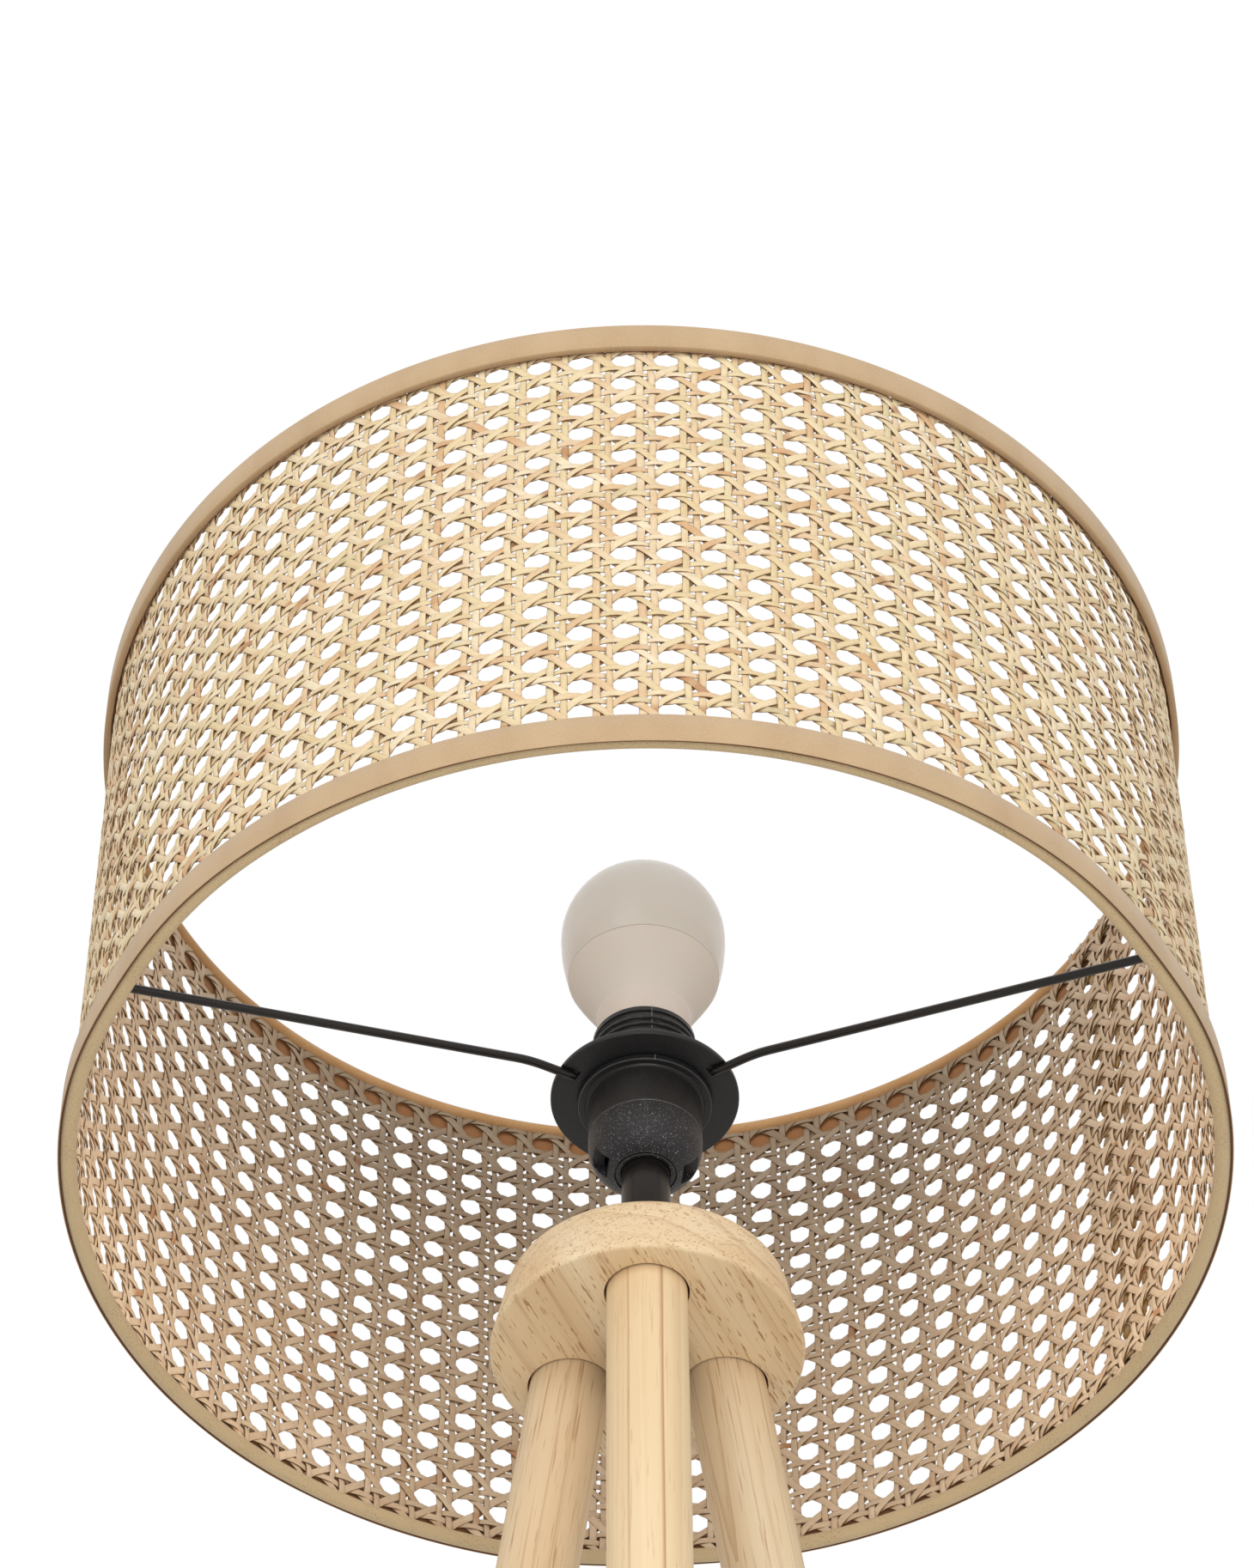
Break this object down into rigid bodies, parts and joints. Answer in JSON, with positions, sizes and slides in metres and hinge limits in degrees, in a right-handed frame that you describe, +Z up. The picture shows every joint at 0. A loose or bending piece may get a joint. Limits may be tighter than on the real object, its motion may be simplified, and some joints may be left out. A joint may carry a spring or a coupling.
{
  "type": "floor lamp",
  "caption": "Floor lamp on splayed turned wooden legs, with a drum shade of open cane webbing round a screw-in globe bulb.",
  "frame": {"origin": "on the floor, under the middle of the lamp's box; the stem's axis lies 17 mm further along +Y", "axes": "+Z up, the front leg splays towards -Y, +X to the right"},
  "size_m": [0.4266, 0.4542, 1.534],
  "materials": {
    "cane": "natural cane strands, satin on the outside, matt on the inside",
    "tape": "fine ribbed ribbon, matt",
    "black_steel": "black powder coat, satin",
    "black_plastic": "moulded thermoplastic, satin with fine grain",
    "steel": "zinc plated",
    "brass": "plain pressed brass",
    "insulator": "white glazed insulator",
    "wood": "pale hardwood, turned, sanded and waxed",
    "pad": "felt",
    "opal": "opal, smooth",
    "housing": "white moulded plastic, satin"
  },
  "bodies": {
    "lamp": {"cane_webbing": "cane", "bottom_trim_tape": "tape", "top_trim_tape": "tape", "bottom_wire_ring": "tape", "top_wire_ring": "tape", "spider_arm_right": "black_steel", "spider_arm_back": "black_steel", "spider_arm_left": "black_steel", "fitter_plate": "black_plastic", "holder_shell": "black_plastic", "holder_cap": "black_plastic", "holder_insert": "insulator", "screw_shell": "brass", "contact_leaf": "brass", "terminal_screw_left": "brass", "terminal_screw_right": "brass", "stem_tube": "black_steel", "threaded_pipe": "steel", "hub": "wood", "hub_nut": "black_plastic", "outlet_bush": "black_plastic", "leg_front": "wood", "leg_right": "wood", "leg_left": "wood", "leg_stud_front": "steel", "leg_stud_right": "steel", "leg_stud_left": "steel", "leg_sleeve_nut_front": "steel", "leg_sleeve_nut_right": "steel", "leg_sleeve_nut_left": "steel", "foot_pad_front": "pad", "foot_pad_right": "pad", "foot_pad_left": "pad"},
    "ring": {"locking_ring": "black_plastic"},
    "tip": {"bulb_tip_contact": "steel"},
    "bulb": {"bulb_globe": "opal", "bulb_housing": "housing", "bulb_light_board": "insulator", "bulb_screw_cap": "steel", "bulb_insulator": "black_plastic"}
  },
  "joints": [
    {"name": "ring_travel", "type": "slide", "parent": "lamp", "child": "ring", "axis": [0, 0, 1], "range_m": [0, 0.021]},
    {"name": "bulb_lift", "type": "slide", "parent": "lamp", "child": "tip", "axis": [0, 0, 1], "range_m": [0, 0.0182]},
    {"name": "bulb_turn", "type": "hinge", "parent": "tip", "child": "bulb", "pos_m": [0, 0.01709, 1.43], "axis": [0, 0, 1], "range_deg": [0, 1800]}
  ],
  "couplings": [
    {"joint": "bulb_lift", "follows": "bulb_turn", "m_per_rad": 0.00057757}
  ]
}
